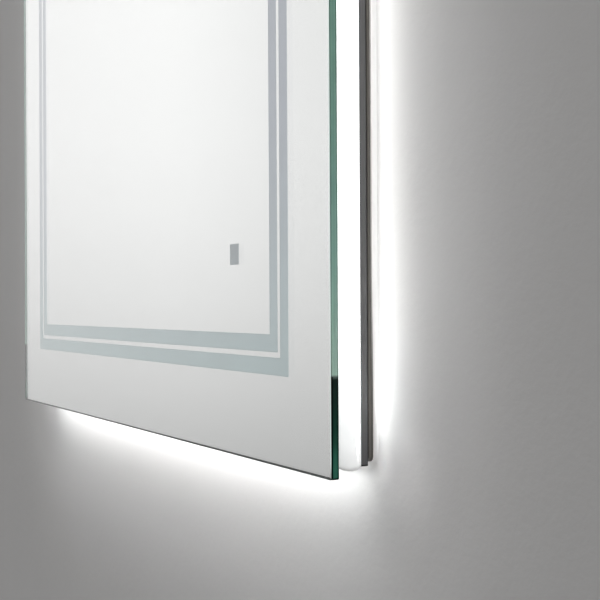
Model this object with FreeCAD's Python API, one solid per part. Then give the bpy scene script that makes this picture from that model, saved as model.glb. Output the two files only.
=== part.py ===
import FreeCAD, Part
import math
import os

V = FreeCAD.Vector
os.makedirs("parts", exist_ok=True)

# ---------------------------------------------------------------------------
# Lighted bathroom mirror, millimetres.
# Frame: the wall plane is Y = 0 and the mirror stands in front of it towards -Y.
# +X is to the right as one faces the mirror, +Z is up.
# Origin: midpoint of the wall rail's two screw holes, on the wall plane.
# Depths are given as D, measured from the pane's front face towards the wall,
# so Y = D - DEPTH.  Insets S are measured inwards from the pane's edge.
# ---------------------------------------------------------------------------
PANE_W = 600.0          # pane width
PANE_H = 800.0          # pane height
PANE_T = 5.0            # pane thickness
PANE_CORNER_R = 1.2     # seamed corner of the pane
ARRIS = 0.3             # flat polished edge with a fine arris
DEPTH = 30.0            # pane front to wall
TOP_ABOVE_SCREWS = 120.0  # pane top edge above the wall screws

COAT_T = 0.1            # silvering and backing paint
BAND_MARGIN = 50.0      # pane edge to the outer etched band
BAND_W = 10.0           # width of each etched band
BAND_GAP = 3.0          # silvered line between the two bands
TOUCH_OFF = 120.0       # touch window centre from the right and the bottom edge
TOUCH_SIZE = 12.5       # side of the square touch window
FILM_T = 0.2            # diffusing film behind the windows

FRAME_S = 5.2           # frame's outer face, inset from the pane's edge
FRAME_IN = 24.0         # frame's inner face
FRAME_D0 = 6.0          # front flange face
FRAME_D1 = 25.3         # rear wall face
FLANGE_T = 1.1
CH_D0 = 7.1             # light channel, front side
CH_D1 = 21.0            # light channel, rear side
WEB_S0, WEB_S1 = 13.6, 14.8
DIFF_S = 3.35           # crown of the bulging diffuser

GASKET_T = 0.8
PANEL_T = 1.0
PANEL_S = 6.8           # back pan's rim, inset from the pane's edge
PANEL_D0 = FRAME_D1 + GASKET_T      # 26.1
PANEL_D1 = PANEL_D0 + PANEL_T       # 27.1
RIM_D = 29.4            # rear edge of the pan's rim
POCKET_D0 = 21.3        # pressed pocket floor, inner face
POCKET_D1 = POCKET_D0 + PANEL_T

RAIL_L = 440.0
RAIL_T = 1.5
SCREW_SPACING = 400.0
SCREW_HOLE_R = 2.75
LIFT = 13.0             # lift that frees the hook from the rail

HW, ZB, ZT = PANE_W / 2, TOP_ABOVE_SCREWS - PANE_H, TOP_ABOVE_SCREWS


def Y(d):
    return d - DEPTH


# ------------------------------------------------------------------ helpers
def box(x0, x1, d0, d1, z0, z1):
    return Part.makeBox(x1 - x0, d1 - d0, z1 - z0, V(x0, Y(d0), z0))


def cyl(x, d, z, r, length, axis):
    return Part.makeCylinder(r, length, V(x, Y(d), z), axis)


def cyl_d(x, z, r, d0, d1):
    """Cylinder along the depth from d0 to d1."""
    return Part.makeCylinder(r, d1 - d0, V(x, Y(d0), z), V(0, 1, 0))


def rounded(pts, radii, place):
    """Closed wire through 2-D points; radii round the corners; place maps (u, v) to a point."""
    n = len(pts)
    if isinstance(radii, (int, float)):
        radii = [radii] * n
    ends, edges = [], []
    for i in range(n):
        p0, p1, p2 = pts[i - 1], pts[i], pts[(i + 1) % n]
        r = radii[i]
        if r <= 0:
            ends.append((p1, p1, None))
            continue
        a = (p0[0] - p1[0], p0[1] - p1[1])
        b = (p2[0] - p1[0], p2[1] - p1[1])
        la, lb = math.hypot(*a), math.hypot(*b)
        a, b = (a[0] / la, a[1] / la), (b[0] / lb, b[1] / lb)
        half = math.acos(max(-1, min(1, a[0] * b[0] + a[1] * b[1]))) / 2
        t = r / math.tan(half)
        s = (p1[0] + a[0] * t, p1[1] + a[1] * t)
        e = (p1[0] + b[0] * t, p1[1] + b[1] * t)
        bis = (a[0] + b[0], a[1] + b[1])
        lbis = math.hypot(*bis)
        k = r / math.sin(half) - r
        m = (p1[0] + bis[0] / lbis * k, p1[1] + bis[1] / lbis * k)
        ends.append((s, e, m))
    for i in range(n):
        s, e, m = ends[i]
        if m is not None:
            edges.append(Part.Arc(place(*s), place(*m), place(*e)).toShape())
        nxt = ends[(i + 1) % n][0]
        if math.hypot(nxt[0] - e[0], nxt[1] - e[1]) > 1e-6:
            edges.append(Part.LineSegment(place(*e), place(*nxt)).toShape())
    return Part.Wire(edges)


def plate_xz(x0, x1, z0, z1, d0, d1, r=0.0):
    """Plate lying in the wall's plane, with rounded corners."""
    if r <= 0:
        return box(x0, x1, d0, d1, z0, z1)
    w = rounded([(x0, z0), (x1, z0), (x1, z1), (x0, z1)], r, lambda u, v: V(u, Y(d0), v))
    return Part.Face(w).extrude(V(0, d1 - d0, 0))


def inset(s, d0, d1, r=0.0):
    """Plate of the pane's outline, inset by s."""
    return plate_xz(-HW + s, HW - s, ZB + s, ZT - s, d0, d1, r)


def ring(s0, s1, d0, d1, r0=0.0, r1=0.0):
    return inset(s0, d0, d1, r0).cut(inset(s1, d0 - 1, d1 + 1, r1))


def trapezoid(side, depth=60.0):
    """The mitred field of one side of the frame."""
    s, h, w = 0.0, HW, depth
    corners = {
        "right": [(h - s, ZB), (h - s, ZT), (h - w, ZT - w), (h - w, ZB + w)],
        "left": [(-h, ZB), (-h, ZT), (-h + w, ZT - w), (-h + w, ZB + w)],
        "bottom": [(-h, ZB), (h, ZB), (h - w, ZB + w), (-h + w, ZB + w)],
        "top": [(-h, ZT), (h, ZT), (h - w, ZT - w), (-h + w, ZT - w)],
    }[side]
    pts = [V(x, Y(-1), z) for x, z in corners]
    face = Part.Face(Part.makePolygon(pts + pts[:1]))
    return face.extrude(V(0, DEPTH + 4, 0))


def run(side, wires):
    """Extrudes a section, given in inset and depth, along one side and mitres both ends."""
    place = {
        "right": lambda s, d: V(HW - s, Y(d), ZB - 5),
        "left": lambda s, d: V(-HW + s, Y(d), ZB - 5),
        "bottom": lambda s, d: V(-HW - 5, Y(d), ZB + s),
        "top": lambda s, d: V(-HW - 5, Y(d), ZT - s),
    }[side]
    along = V(0, 0, PANE_H + 10) if side in ("right", "left") else V(PANE_W + 10, 0, 0)
    outer = Part.Face(wires[0](place)).extrude(along)
    for w in wires[1:]:
        outer = outer.cut(Part.Face(w(place)).extrude(along))
    return outer.common(trapezoid(side))


def tube(points, d, dia, bends, plane_d=True):
    """Round lead in a plane of constant depth: straight runs joined by tangent arcs."""
    n = len(points)
    if isinstance(bends, (int, float)):
        bends = [bends] * (n - 2)
    P = [V(x, Y(d), z) for x, z in points]
    edges, at, length = [], P[0], 0.0
    for i in range(1, n - 1):
        a, b = (P[i - 1] - P[i]), (P[i + 1] - P[i])
        a.normalize()
        b.normalize()
        half = a.getAngle(b) / 2
        r = bends[i - 1]
        t = r / math.tan(half)
        s, e = P[i] + a * t, P[i] + b * t
        bis = a + b
        bis.normalize()
        m = P[i] + bis * (r / math.sin(half) - r)
        if (s - at).Length > 1e-6:
            edges.append(Part.LineSegment(at, s).toShape())
        edges.append(Part.Arc(s, m, e).toShape())
        at = e
    edges.append(Part.LineSegment(at, P[-1]).toShape())
    path = Part.Wire(edges)
    start = P[1] - P[0]
    start.normalize()
    section = Part.Wire([Part.Circle(P[0], start, dia / 2).toShape()])
    solid = path.makePipeShell([section], True, True)
    want = path.Length * math.pi * dia * dia / 4
    if abs(solid.Volume - want) > 0.02 * want:
        raise ValueError("lead volume is off: %g for %g" % (solid.Volume, want))
    return solid


def group(solids):
    return Part.makeCompound(solids)


def one(shape):
    """The single solid in a shape, cleaned of seams."""
    s = shape.removeSplitter()
    return s.Solids[0] if len(s.Solids) == 1 else Part.makeCompound(s.Solids)


def pan_screw(x, z, d_head, head_r, head_h, shank_r, d_tip, toward=-1):
    """Pan-head screw along the depth: head behind d_head, shank forward to d_tip."""
    head = cyl_d(x, z, head_r, d_head, d_head + head_h)
    rim = [e for e in head.Edges if abs(e.BoundBox.YMin - Y(d_head + head_h)) < 1e-6 and abs(e.BoundBox.YMax - Y(d_head + head_h)) < 1e-6]
    head = head.makeFillet(head_h * 0.55, rim)
    # cross recess
    cut = box(x - head_r * 0.55, x + head_r * 0.55, d_head + head_h * 0.45, d_head + head_h + 1, z - head_r * 0.13, z + head_r * 0.13)
    cut = cut.fuse(box(x - head_r * 0.13, x + head_r * 0.13, d_head + head_h * 0.45, d_head + head_h + 1, z - head_r * 0.55, z + head_r * 0.55))
    tip = Part.makeCone(shank_r * 0.25, shank_r, 1.5, V(x, Y(d_tip), z), V(0, 1, 0))
    shank = cyl_d(x, z, shank_r, d_tip + 1.5, d_head)
    return one(head.cut(cut).fuse(shank).fuse(tip))


nodes = {}

# ------------------------------------------------------------------ mirror pane
pane = inset(0.0, 0.0, PANE_T, PANE_CORNER_R)
rims = [e for e in pane.Edges if e.BoundBox.YLength < 1e-6]
nodes["mirror_glass"] = pane.makeChamfer(ARRIS, rims)

# silvering: three separate fields with the etched windows left out
B0 = BAND_MARGIN
B1 = B0 + BAND_W
B2 = B1 + BAND_GAP
B3 = B2 + BAND_W
TX, TZ = HW - TOUCH_OFF, ZB + TOUCH_OFF
C0, C1 = PANE_T, PANE_T + COAT_T
window = box(TX - TOUCH_SIZE / 2, TX + TOUCH_SIZE / 2, C0 - 1, C1 + 1, TZ - TOUCH_SIZE / 2, TZ + TOUCH_SIZE / 2)
nodes["mirror_silvering"] = group([
    ring(ARRIS, B0, C0, C1, 1.0, 0).Solids[0],
    ring(B1, B2, C0, C1).Solids[0],
    inset(B3, C0, C1).cut(window).Solids[0],
])

# translucent film behind the etched bands and the touch window
nodes["band_diffuser_film"] = group([
    ring(B0 - 4, B3 + 4, C1, C1 + FILM_T, 2, 2).Solids[0],
    plate_xz(TX - 10, TX + 10, TZ - 10, TZ + 10, C1, C1 + FILM_T, 2),
])

# foam tape that bonds the frame to the pane
TAPE = (6.6, 15.6)
tape = ring(TAPE[0], TAPE[1], C1, FRAME_D0)
nodes["bonding_tape"] = group([tape.common(trapezoid(s)).Solids[0] for s in ("left", "right", "top", "bottom")])

# ------------------------------------------------------------------ frame and diffuser
BEAD_S0, BEAD_S1, BEAD_H = 8.8, 9.6, 0.5
frame_outer = [
    (FRAME_S, FRAME_D0), (FRAME_IN, FRAME_D0), (FRAME_IN, FRAME_D1), (FRAME_S, FRAME_D1),
    (FRAME_S, CH_D1),
    (BEAD_S0, CH_D1), (BEAD_S0, CH_D1 - BEAD_H), (BEAD_S1, CH_D1 - BEAD_H), (BEAD_S1, CH_D1),
    (WEB_S0, CH_D1), (WEB_S0, CH_D0),
    (BEAD_S1, CH_D0), (BEAD_S1, CH_D0 + BEAD_H), (BEAD_S0, CH_D0 + BEAD_H), (BEAD_S0, CH_D0),
    (FRAME_S, CH_D0),
]
frame_radii = [0.25, 0, 0.4, 0.3, 0.25, 0, 0.15, 0.15, 0, 0.3, 0.3, 0, 0.15, 0.15, 0, 0.25]
PORT = [(16.6, 17.8), (20.2, 21.4)]     # screw port ribs in the inner chamber
PORT_D = 17.1
chamber = [
    (WEB_S1, CH_D0), (FRAME_IN - 1.2, CH_D0), (FRAME_IN - 1.2, FRAME_D1 - FLANGE_T),
    (PORT[1][1], FRAME_D1 - FLANGE_T), (PORT[1][1], PORT_D), (PORT[1][0], PORT_D), (PORT[1][0], FRAME_D1 - FLANGE_T),
    (PORT[0][1], FRAME_D1 - FLANGE_T), (PORT[0][1], PORT_D), (PORT[0][0], PORT_D), (PORT[0][0], FRAME_D1 - FLANGE_T),
    (WEB_S1, FRAME_D1 - FLANGE_T),
]
rear_box = [(FRAME_S + 1.2, CH_D1 + FLANGE_T), (WEB_S0, CH_D1 + FLANGE_T), (WEB_S0, FRAME_D1 - FLANGE_T), (FRAME_S + 1.2, FRAME_D1 - FLANGE_T)]
frame_wires = [
    lambda p: rounded(frame_outer, frame_radii, p),
    lambda p: rounded(chamber, 0, p),
    lambda p: rounded(rear_box, 0.3, p),
]

# back pan screws into the frame's screw port
PORT_S = (PORT[0][1] + PORT[1][0]) / 2
screw_xz = [(sx * (HW - PORT_S), z) for sx in (-1, 1) for z in (ZB + 60, ZB + 230, ZB + 400, ZB + 570, ZB + 740)]
screw_xz += [(x, z) for z in (ZB + PORT_S, ZT - PORT_S) for x in (-190, 0, 190)]
PORT_HOLE_R = 1.25

LEAD_D = 11.0           # depth of the low-voltage leads
MAINS_D = 17.0          # depth of the mains leads
SIDE_LEAD_Z = TZ + 5


def diffuser_wire(p):
    """Bulging opal cover with two snap legs."""
    a, m, b = (FRAME_S, CH_D0), (DIFF_S, (CH_D0 + CH_D1) / 2), (FRAME_S, CH_D1)
    inner_r0, inner_m, inner_r1 = (6.9, CH_D1 - 1.8), (DIFF_S + 1.65, (CH_D0 + CH_D1) / 2), (6.9, CH_D0 + 1.8)
    line = lambda q, r: Part.LineSegment(p(*q), p(*r)).toShape()
    rear = [b, (7.0, CH_D1), (7.0, CH_D1 - 0.6), (9.8, CH_D1 - 0.6), (9.8, CH_D1), (10.6, CH_D1), (10.6, CH_D1 - 1.8), inner_r0]
    front = [inner_r1, (10.6, CH_D0 + 1.8), (10.6, CH_D0), (9.8, CH_D0), (9.8, CH_D0 + 0.6), (7.0, CH_D0 + 0.6), (7.0, CH_D0), a]
    edges = [Part.Arc(p(*a), p(*m), p(*b)).toShape()]
    edges += [line(rear[i], rear[i + 1]) for i in range(len(rear) - 1)]
    edges.append(Part.Arc(p(*inner_r0), p(*inner_m), p(*inner_r1)).toShape())
    edges += [line(front[i], front[i + 1]) for i in range(len(front) - 1)]
    return Part.Wire(edges)


for side in ("left", "right", "top", "bottom"):
    f = run(side, frame_wires)
    for x, z in screw_xz:
        f = f.cut(cyl_d(x, z, PORT_HOLE_R, PORT_D - 1, FRAME_D1 + 1))
    if side == "right":     # the side light's lead passes through the inner wall and the web
        f = f.cut(cyl(HW - FRAME_IN - 1, LEAD_D, SIDE_LEAD_Z, 2.6, 14, V(1, 0, 0)))
    nodes["frame_" + side] = one(f)
    nodes["diffuser_" + side] = one(run(side, [diffuser_wire]))

# corner keys: L-shaped castings in the frame's chamber
KEY_S0, KEY_S1, KEY_D0, KEY_D1, KEY_ARM = 14.85, 22.75, CH_D0, 15.9, 38.0
keys = []
for sx in (-1, 1):
    for z_edge, sz in ((ZB, 1), (ZT, -1)):
        c = lambda s, t: V(sx * (HW - s), Y(KEY_D0), z_edge + sz * t)
        pts = [c(KEY_S0, KEY_S0), c(KEY_S0, KEY_S0 + KEY_ARM), c(KEY_S1, KEY_S0 + KEY_ARM), c(KEY_S1, KEY_S1),
               c(KEY_S0 + KEY_ARM, KEY_S1), c(KEY_S0 + KEY_ARM, KEY_S0)]
        k = Part.Face(Part.makePolygon(pts + pts[:1])).extrude(V(0, KEY_D1 - KEY_D0, 0))
        keys.append(k)
nodes["corner_keys"] = group(keys)

# ------------------------------------------------------------------ light strips
STRIP_T, STRIP_W = 0.3, 10.0
SIDE_D0 = (CH_D0 + CH_D1) / 2 - STRIP_W / 2
side_strip = ring(WEB_S0 - STRIP_T, WEB_S0, SIDE_D0, SIDE_D0 + STRIP_W)
nodes["side_light_strip"] = one(side_strip.cut(box(-200, -195, SIDE_D0 - 1, SIDE_D0 + STRIP_W + 1, ZB, ZB + 30)))
FRONT_D0 = 9.5
front_strip = ring(FRAME_IN, FRAME_IN + STRIP_T, FRONT_D0, FRONT_D0 + STRIP_W)
front_strip = front_strip.cut(cyl(HW - FRAME_IN - 5, LEAD_D, SIDE_LEAD_Z, 2.3, 10, V(1, 0, 0)))    # hole for the side light's lead
nodes["front_light_strip"] = one(front_strip.cut(box(-200, -195, FRONT_D0 - 1, FRONT_D0 + STRIP_W + 1, ZB, ZB + 40)))


def chips(s_face, outward, d_mid, pitch):
    """Light-emitting packages along all four sides, standing on a strip's face."""
    out = []
    t, w, l = 0.8, 2.8, 3.5
    s0, s1 = (s_face - t, s_face) if outward else (s_face, s_face + t)
    n = int((PANE_H - 80) // pitch)
    for i in range(n + 1):
        z = (ZB + ZT) / 2 + (i - n / 2) * pitch
        for sx in (-1, 1):
            xa, xb = sorted((sx * (HW - s0), sx * (HW - s1)))
            out.append(box(xa, xb, d_mid - w / 2, d_mid + w / 2, z - l / 2, z + l / 2))
    n = int((PANE_W - 80) // pitch)
    for i in range(n + 1):
        x = (i - n / 2) * pitch
        for z_edge, sz in ((ZB, 1), (ZT, -1)):
            za, zb = sorted((z_edge + sz * s0, z_edge + sz * s1))
            out.append(box(x - l / 2, x + l / 2, d_mid - w / 2, d_mid + w / 2, za, zb))
    return out


LED_PITCH = 33.0
nodes["side_light_leds"] = group(chips(WEB_S0 - STRIP_T, True, SIDE_D0 + STRIP_W / 2, LED_PITCH))
nodes["front_light_leds"] = group(chips(FRAME_IN + STRIP_T, False, FRONT_D0 + STRIP_W / 2, LED_PITCH))

# ------------------------------------------------------------------ back pan
HX, HZ0, HZ1 = 246.0, -32.0, 50.0         # hanger pocket
CX, CZ0, CZ1 = 45.0, -165.0, -75.0        # cable pocket
GX, GZ = 0.0, -120.0                      # cable grommet
pan = inset(PANEL_S, PANEL_D0, RIM_D, 3.2)
front_loop = [e for e in pan.Edges if abs(e.BoundBox.YMin - Y(PANEL_D0)) < 1e-6 and abs(e.BoundBox.YMax - Y(PANEL_D0)) < 1e-6]
pan = pan.makeFillet(1.3, front_loop)
hollow = inset(PANEL_S + PANEL_T, PANEL_D1, RIM_D + 5, 2.2)
h_loop = [e for e in hollow.Edges if abs(e.BoundBox.YMin - Y(PANEL_D1)) < 1e-6 and abs(e.BoundBox.YMax - Y(PANEL_D1)) < 1e-6]
pan = pan.cut(hollow.makeFillet(0.6, h_loop))


def edge_loop(shape, d):
    return [e for e in shape.Edges if abs(e.BoundBox.YMin - Y(d)) < 1e-6 and abs(e.BoundBox.YMax - Y(d)) < 1e-6]


def pocket(pan, x0, x1, z0, z1, r):
    """Pressed pocket, open towards the wall."""
    outer = plate_xz(x0, x1, z0, z1, POCKET_D0, PANEL_D1, r)
    outer = outer.makeFillet(1.6, edge_loop(outer, POCKET_D0))
    inner = plate_xz(x0 + PANEL_T, x1 - PANEL_T, z0 + PANEL_T, z1 - PANEL_T, POCKET_D1, PANEL_D1 + 1, r - PANEL_T)
    inner = inner.makeFillet(0.6, edge_loop(inner, POCKET_D1))
    return pan.fuse(outer).cut(inner)


pan = pocket(pan, -HX, HX, HZ0, HZ1, 6.0)
pan = pocket(pan, -CX, CX, CZ0, CZ1, 6.0)


def bead(pan, x0, x1, z0, z1):
    """Pressed stiffening bead that stands out towards the wall."""
    r = min(x1 - x0, z1 - z0) / 2 - 0.01
    outer = plate_xz(x0, x1, z0, z1, PANEL_D1 - 0.5, PANEL_D1 + 1.2, r)
    outer = outer.makeFillet(0.9, edge_loop(outer, PANEL_D1 + 1.2))
    inner = plate_xz(x0 + 1, x1 - 1, z0 + 1, z1 - 1, PANEL_D0 - 1, PANEL_D0 + 1.2, r - 1)
    return pan.fuse(outer).cut(inner)


BEADS = [(-232, -220, -640, -200), (220, 232, -640, -200), (-190, 190, -636, -624), (-190, 190, -486, -474), (-190, 190, -336, -324)]
for b in BEADS:
    pan = bead(pan, *b)

# fixing holes in the pan
for x, z in screw_xz:
    pan = pan.cut(cyl_d(x, z, 1.7, PANEL_D0 - 1, PANEL_D1 + 1))
pan = pan.cut(cyl_d(GX, GZ, 7.0, POCKET_D0 - 1, POCKET_D1 + 1))
BRACKET_X = 130.0                         # centres of the hooks, left and right
RIVET_X, RIVET_Z = (-152, -108, 108, 152), 36.0
for x in RIVET_X:
    pan = pan.cut(cyl_d(x, RIVET_Z, 2.05, POCKET_D0 - 1, POCKET_D1 + 1))
DRV = (-60.0, 110.0, -262.0, -218.0)       # driver body, x0 x1 z0 z1
DRV_FIX = [(DRV[0] - 7, -240.0), (DRV[1] + 7, -240.0)]
BOXX = (-140.0, -70.0, -150.0, -90.0)      # terminal box
BOX_FIX = [(-133.0, -143.0), (-77.0, -97.0)]
for x, z in DRV_FIX + BOX_FIX:
    pan = pan.cut(cyl_d(x, z, 1.7, PANEL_D0 - 1, PANEL_D1 + 1))
nodes["back_panel"] = one(pan)

gasket = ring(8.3, 23.0, FRAME_D1, PANEL_D0, 2.0, 1.0)
for x, z in screw_xz:
    gasket = gasket.cut(cyl_d(x, z, 1.7, FRAME_D1 - 1, PANEL_D0 + 1))
nodes["panel_gasket"] = one(gasket)
nodes["panel_screws"] = group([pan_screw(x, z, PANEL_D1, 2.9, 1.8, 1.15, PORT_D + 1.5) for x, z in screw_xz])

# white reflector sheet on the pan's inside, open at the pockets and the electrics
REFL_T = 0.5
refl = inset(30.0, PANEL_D0 - REFL_T, PANEL_D0, 4)
for x0, x1, z0, z1 in ((-HX - 3, HX + 3, HZ0 - 3, HZ1 + 3), (-CX - 3, CX + 3, CZ0 - 3, CZ1 + 3),
                       (DRV[0] - 18, DRV[1] + 18, DRV[2] - 4, DRV[3] + 4), (BOXX[0] - 4, BOXX[1] + 4, BOXX[2] - 4, BOXX[3] + 4),
                       (-204, -176, -192, -150)):
    refl = refl.cut(plate_xz(x0, x1, z0, z1, PANEL_D0 - 2, PANEL_D0 + 1, 3))
nodes["reflector_sheet"] = one(refl)

# ------------------------------------------------------------------ hanging
RAIL_Z0, RAIL_Z1 = -13.0, 12.5
strip = plate_xz(-RAIL_L / 2, RAIL_L / 2, RAIL_Z0, RAIL_Z1, DEPTH - RAIL_T, DEPTH, 2.5)
strip = strip.makeChamfer(0.25, edge_loop(strip, DEPTH - RAIL_T))
for sx in (-1, 1):
    strip = strip.cut(Part.makeCylinder(SCREW_HOLE_R, 4, V(sx * SCREW_SPACING / 2, -3, 0), V(0, 1, 0)))
nodes["wall_rail"] = one(strip)


def rounded_sides(body, x, w, z0, z1, r):
    """Rounds the free corners of a bent bracket, as seen along the depth."""
    return body.common(plate_xz(x - w / 2, x + w / 2, z0, z1, DEPTH - 12, DEPTH + 1, r))


RAIL_HOOK_W, HANG_HOOK_W = 60.0, 72.0
rail_pts = [(-1.5, -10.5), (-1.5, 12.5), (-3.5, 12.5), (-3.5, 24), (-5, 24), (-5, 11), (-3, 11), (-3, -10.5)]
rail_rad = [0.3, 0.3, 0.6, 0.5, 0.5, 1.2, 0.6, 0.3]
hook_pts = [(-1.1, 12.5), (-1.1, 27), (-6.2, 27), (-6.2, 44), (-7.7, 44), (-7.7, 25.5), (-2.6, 25.5), (-2.6, 12.5)]
hook_rad = [0.5, 1.6, 0.6, 0.5, 0.5, 1.6, 0.6, 0.5]
rail_hooks, hang_hooks = [], []
for sx in (-1, 1):
    cx = sx * BRACKET_X
    body = Part.Face(rounded(rail_pts, rail_rad, lambda u, v: V(cx - RAIL_HOOK_W / 2, u, v))).extrude(V(RAIL_HOOK_W, 0, 0))
    rail_hooks.append(one(rounded_sides(body, cx, RAIL_HOOK_W, -10.5, 24, 2.5)))
    body = Part.Face(rounded(hook_pts, hook_rad, lambda u, v: V(cx - HANG_HOOK_W / 2, u, v))).extrude(V(HANG_HOOK_W, 0, 0))
    body = rounded_sides(body, cx, HANG_HOOK_W, 12.5, 44, 3.0)
    for x in RIVET_X:
        body = body.cut(Part.makeCylinder(2.05, 4, V(x, -9, RIVET_Z), V(0, 1, 0)))
    hang_hooks.append(one(body))
nodes["rail_hooks"] = group(rail_hooks)
nodes["hanger_hooks"] = group(hang_hooks)


def rivet(x, z):
    rear = Part.makeCylinder(3.6, 1.2, V(x, -6.2, z), V(0, 1, 0))
    rear = rear.makeFillet(0.8, [e for e in rear.Edges if abs(e.BoundBox.YMin + 5.0) < 1e-6 and abs(e.BoundBox.YMax + 5.0) < 1e-6])
    shank = Part.makeCylinder(2.0, 2.5, V(x, -8.7, z), V(0, 1, 0))
    front = Part.makeCylinder(3.0, 1.2, V(x, -9.9, z), V(0, 1, 0))
    front = front.makeFillet(0.8, [e for e in front.Edges if abs(e.BoundBox.YMin + 9.9) < 1e-6 and abs(e.BoundBox.YMax + 9.9) < 1e-6])
    return one(rear.fuse(shank).fuse(front))


nodes["hanger_rivets"] = group([rivet(x, RIVET_Z) for x in RIVET_X])

BUMPERS = [(-262, -645), (262, -645), (-262, -290), (262, -290), (-262, 80), (262, 80)]
bumps = []
for x, z in BUMPERS:
    b = cyl_d(x, z, 6.0, PANEL_D1, DEPTH)
    bumps.append(b.makeFillet(0.8, edge_loop(b, DEPTH)))
nodes["wall_bumpers"] = group(bumps)

# ------------------------------------------------------------------ cable entry
g = cyl_d(GX, GZ, 10.0, 19.3, POCKET_D0).fuse(cyl_d(GX, GZ, 6.95, POCKET_D0, POCKET_D1)).fuse(cyl_d(GX, GZ, 10.0, POCKET_D1, 24.3))
g = one(g)
g = g.makeFillet(0.7, edge_loop(g, 19.3) + edge_loop(g, 24.3))
nodes["cable_grommet"] = one(g.cut(cyl_d(GX, GZ, 4.0, 18, 26)))

# ------------------------------------------------------------------ terminal box
x0, x1, z0, z1 = BOXX
tb = plate_xz(x0, x1, z0, z1, 12.0, PANEL_D0, 3).cut(plate_xz(x0 + 1.5, x1 - 1.5, z0 + 1.5, z1 - 1.5, 11, PANEL_D0 - 1.5, 1.5))
for x, z in BOX_FIX:
    tb = tb.fuse(cyl_d(x, z, 3.4, 20.1, PANEL_D0 - 1))
for x, z in BOX_FIX:
    tb = tb.cut(cyl_d(x, z, 1.55, 20.6, PANEL_D0 + 1))
tb = tb.cut(cyl(x1 - 3, 18, GZ, 4.5, 6, V(1, 0, 0)))            # mains inlet
tb = tb.cut(cyl(-110, MAINS_D, z0 - 2, 3.1, 6, V(0, 0, 1)))          # supply lead outlet
tb = tb.cut(cyl(x0 - 2, MAINS_D, -120, 1.6, 6, V(1, 0, 0)))          # earth lead outlet
for x, z in ((-133, -97), (-77, -143)):                          # lid screw posts
    tb = tb.fuse(cyl_d(x, z, 3.2, 12.0, PANEL_D0 - 1))
for x, z in ((-133, -97), (-77, -143)):
    tb = tb.cut(cyl_d(x, z, 1.3, 11, 22))
nodes["terminal_box"] = one(tb)
lid = plate_xz(x0, x1, z0, z1, 10.0, 12.0, 3)
lid = lid.makeFillet(0.8, edge_loop(lid, 10.0))
for x, z in ((-133, -97), (-77, -143)):
    lid = lid.cut(cyl_d(x, z, 1.6, 9, 13))
nodes["terminal_box_lid"] = one(lid)


def front_screw(x, z, d_head, head_r, head_h, shank_r, d_tip):
    """Pan-head screw driven from the front: head before d_head, shank back to d_tip."""
    head = cyl_d(x, z, head_r, d_head - head_h, d_head)
    head = head.makeFillet(head_h * 0.5, edge_loop(head, d_head - head_h))
    cut = box(x - head_r * 0.55, x + head_r * 0.55, d_head - head_h - 1, d_head - head_h * 0.5, z - 0.35, z + 0.35)
    return one(head.cut(cut).fuse(cyl_d(x, z, shank_r, d_head, d_tip)))


nodes["box_lid_screws"] = group([front_screw(x, z, 10.0, 2.6, 1.6, 1.25, 20.0) for x, z in ((-133, -97), (-77, -143))])
nodes["electrics_screws"] = group([pan_screw(x, z, PANEL_D1, 2.9, 1.8, 1.45, 21.2) for x, z in DRV_FIX + BOX_FIX])

# three-way terminal block: moulded body, brass cage clamps, clamp screws
TBX, TBZ = (-125.0, -95.0), (-128.0, -110.0)
body = plate_xz(TBX[0], TBX[1], TBZ[0], TBZ[1], 13.6, PANEL_D0 - 1.5, 1.0)
inserts, clamp_screws = [], []
for i in range(3):
    cx = TBX[0] + 5 + 10 * i
    body = body.cut(cyl(cx, MAINS_D, TBZ[0] - 1, 2.6, 20, V(0, 0, 1)))
    for cz in (TBZ[0] + 4.5, TBZ[1] - 4.5):
        body = body.cut(cyl_d(cx, cz, 1.8, 12, MAINS_D))
    t = cyl(cx, MAINS_D, TBZ[0] + 1, 2.6, 16, V(0, 0, 1)).cut(cyl(cx, MAINS_D, TBZ[0], 1.6, 20, V(0, 0, 1)))
    for cz in (TBZ[0] + 4.5, TBZ[1] - 4.5):
        t = t.cut(cyl_d(cx, cz, 1.25, 12, MAINS_D - 0.5))
        s = cyl_d(cx, cz, 1.75, 13.7, 14.35).cut(box(cx - 1.3, cx + 1.3, 13, 14.0, cz - 0.25, cz + 0.25))
        clamp_screws.append(one(s.fuse(cyl_d(cx, cz, 1.25, 14.35, MAINS_D - 0.7))))
    inserts.append(one(t))
nodes["terminal_block"] = one(body)
nodes["terminal_inserts"] = group(inserts)
nodes["terminal_clamp_screws"] = group(clamp_screws)

# ------------------------------------------------------------------ light driver
x0, x1, z0, z1 = DRV
base = plate_xz(x0, x1, z0, z1, 24.6, PANEL_D0, 2)
for x, z in DRV_FIX:
    xa, xb = (x - 6, x0 + 2) if x < 0 else (x1 - 2, x + 6)
    base = base.fuse(plate_xz(xa, xb, z - 8, z + 8, 24.6, PANEL_D0, 2)).fuse(cyl_d(x, z, 4.0, 20.4, 25))
for x in (x0 + 12, x1 - 12):
    for z in (z0 + 8, z1 - 8):
        base = base.fuse(cyl_d(x, z, 2.5, 21.6, 25))
for x, z in DRV_FIX:
    base = base.cut(cyl_d(x, z, 1.55, 20.8, PANEL_D0 + 1))
nodes["driver_base"] = one(base)
cover = plate_xz(x0, x1, z0, z1, 9.0, 24.6, 2)
cover = cover.makeFillet(1.2, edge_loop(cover, 9.0))
cover = cover.cut(plate_xz(x0 + 1.5, x1 - 1.5, z0 + 1.5, z1 - 1.5, 10.5, 25, 1))
nodes["driver_cover"] = one(cover)
board = plate_xz(x0 + 4, x1 - 4, z0 + 4, z1 - 4, 20.0, 21.6, 1)
nodes["driver_board"] = one(board)
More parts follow.
